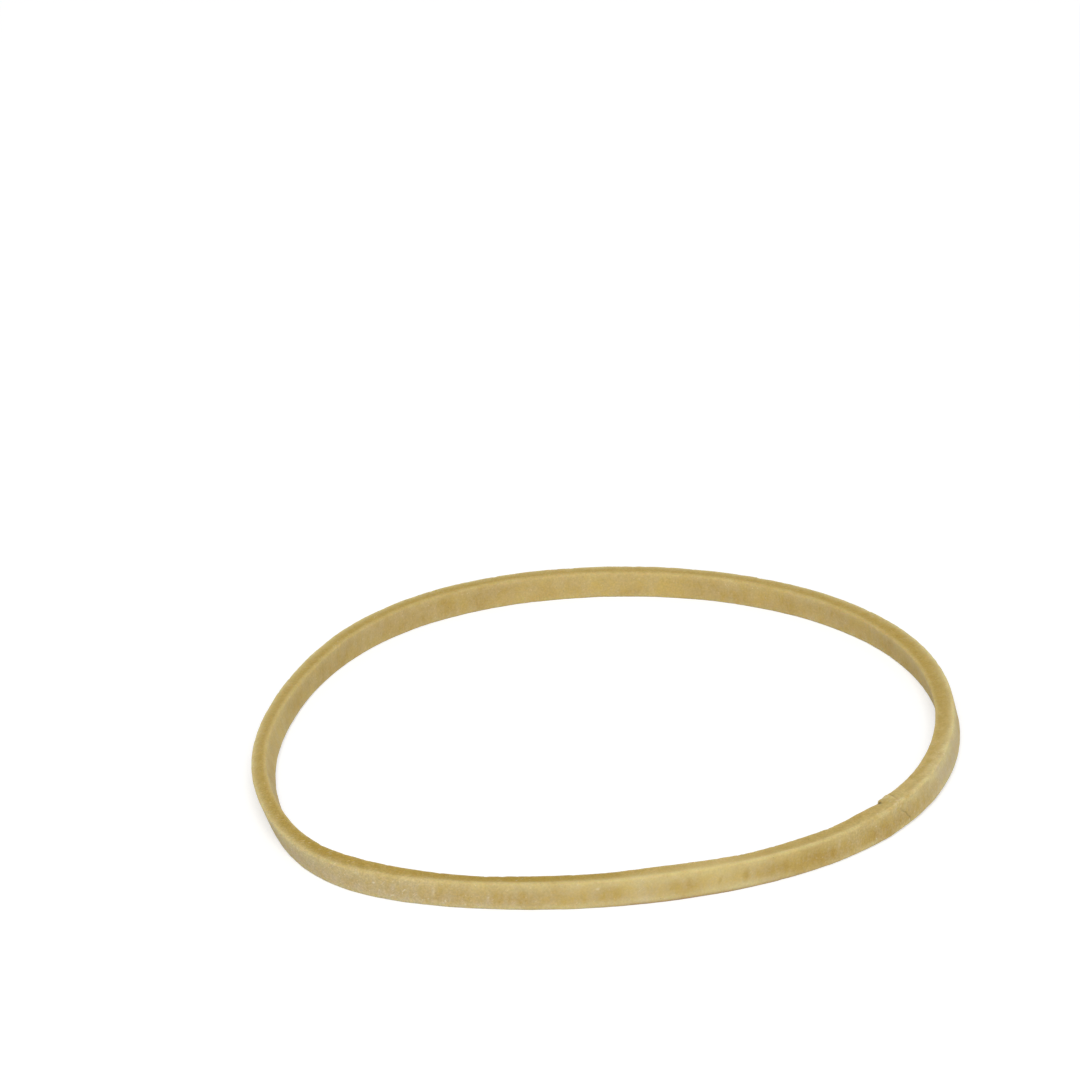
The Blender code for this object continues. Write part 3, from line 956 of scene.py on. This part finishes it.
# %% [markdown]
# ## The table and the light
# The table is plain and white. To the camera it should come out as clean white paper with the band's soft
# shadow on it, while to the band it is only a pale surface that throws some light back up. The Light Path
# node tells these two apart.
# %% The table
TABLE_REACH = 2.0  # metres from the middle to each side
floor_mesh = bpy.data.meshes.new("table")
drawn = bmesh.new()
bmesh.ops.create_grid(drawn, x_segments=1, y_segments=1, size=TABLE_REACH)
drawn.to_mesh(floor_mesh)
drawn.free()
table = bpy.data.objects.new("table", floor_mesh)
bpy.context.scene.collection.objects.link(table)
print("The table reaches", TABLE_REACH, "m to every side")

# %% [markdown]
# The table's material is two in one. Light that goes on to the band meets a plain diffuse white. The camera
# sees a greyer white that glows a little, so it comes out as paper white and still darkens where the band
# shades it.
# %% The white of the table
TABLE_WHITE = (0.8, 0.8, 0.8, 1)
PAPER_GREY = (0.6, 0.6, 0.6, 1)
PAPER_GLOW = 0.53
PURE_WHITE = (1, 1, 1, 1)


def seen_directly(tree):
    """One for rays from the camera, and for those that reach it by way of a shiny or clear surface."""
    path = add(tree, "ShaderNodeLightPath").outputs
    seen = maths(tree, "MAXIMUM", path["Is Camera Ray"], path["Is Glossy Ray"])
    return maths(tree, "MAXIMUM", seen, path["Is Transmission Ray"])


white = bpy.data.materials.new("white_table")
white.use_nodes = True
tree = white.node_tree
tree.nodes.remove(tree.nodes["Principled BSDF"])
plain = add(tree, "ShaderNodeBsdfDiffuse", {"Color": TABLE_WHITE})
shaded = add(tree, "ShaderNodeBsdfDiffuse", {"Color": PAPER_GREY})
glow = add(tree, "ShaderNodeEmission", {"Color": PURE_WHITE, "Strength": PAPER_GLOW})
paper = add(tree, "ShaderNodeAddShader", {0: shaded.outputs[0], 1: glow.outputs[0]})
either = add(tree, "ShaderNodeMixShader", {0: seen_directly(tree), 1: plain.outputs[0], 2: paper.outputs[0]})
tree.links.new(either.outputs[0], tree.nodes["Material Output"].inputs["Surface"])
floor_mesh.materials.append(white)
lay_out(tree)

# %% [markdown]
# The surroundings work the same way: a soft grey that fills the shadows, and plain white for the camera.
# %% Surroundings
SOFT_GREY = (0.4, 0.4, 0.4, 1)
world = bpy.data.worlds.new("studio")
bpy.context.scene.world = world
world.use_nodes = True
tree = world.node_tree
colour = mix(tree, seen_directly(tree), SOFT_GREY, PURE_WHITE)
tree.links.new(colour, tree.nodes["Background"].inputs["Color"])
lay_out(tree)

# %% [markdown]
# ## One soft lamp
# The photograph has one large, soft light, above and behind the camera. A square area lamp does that, turned
# so that it looks at the band. It stands over a metre away, so that the table is lit evenly, and its size of
# 80 centimetres keeps every shadow soft.
# %% Set up the lamp
LAMP_PLACE = (0.0, -0.95, 1.0)
LAMP_SIZE = 0.8
LAMP_WATTS = 13.5

lamp = bpy.data.objects.new("key", bpy.data.lights.new("key", "AREA"))
lamp.data.size = LAMP_SIZE
lamp.data.energy = LAMP_WATTS
lamp.location = LAMP_PLACE
lamp.rotation_euler = (-Vector(LAMP_PLACE)).to_track_quat("-Z", "Y").to_euler()
bpy.context.scene.collection.objects.link(lamp)
print("The lamp stands", round(lamp.location.length, 2), "m from the band")

# %% [markdown]
# ## Finish
# The colours should come out as they are written, so the view transform is Standard.
# %% Set the view transform
bpy.context.scene.view_settings.view_transform = "Standard"
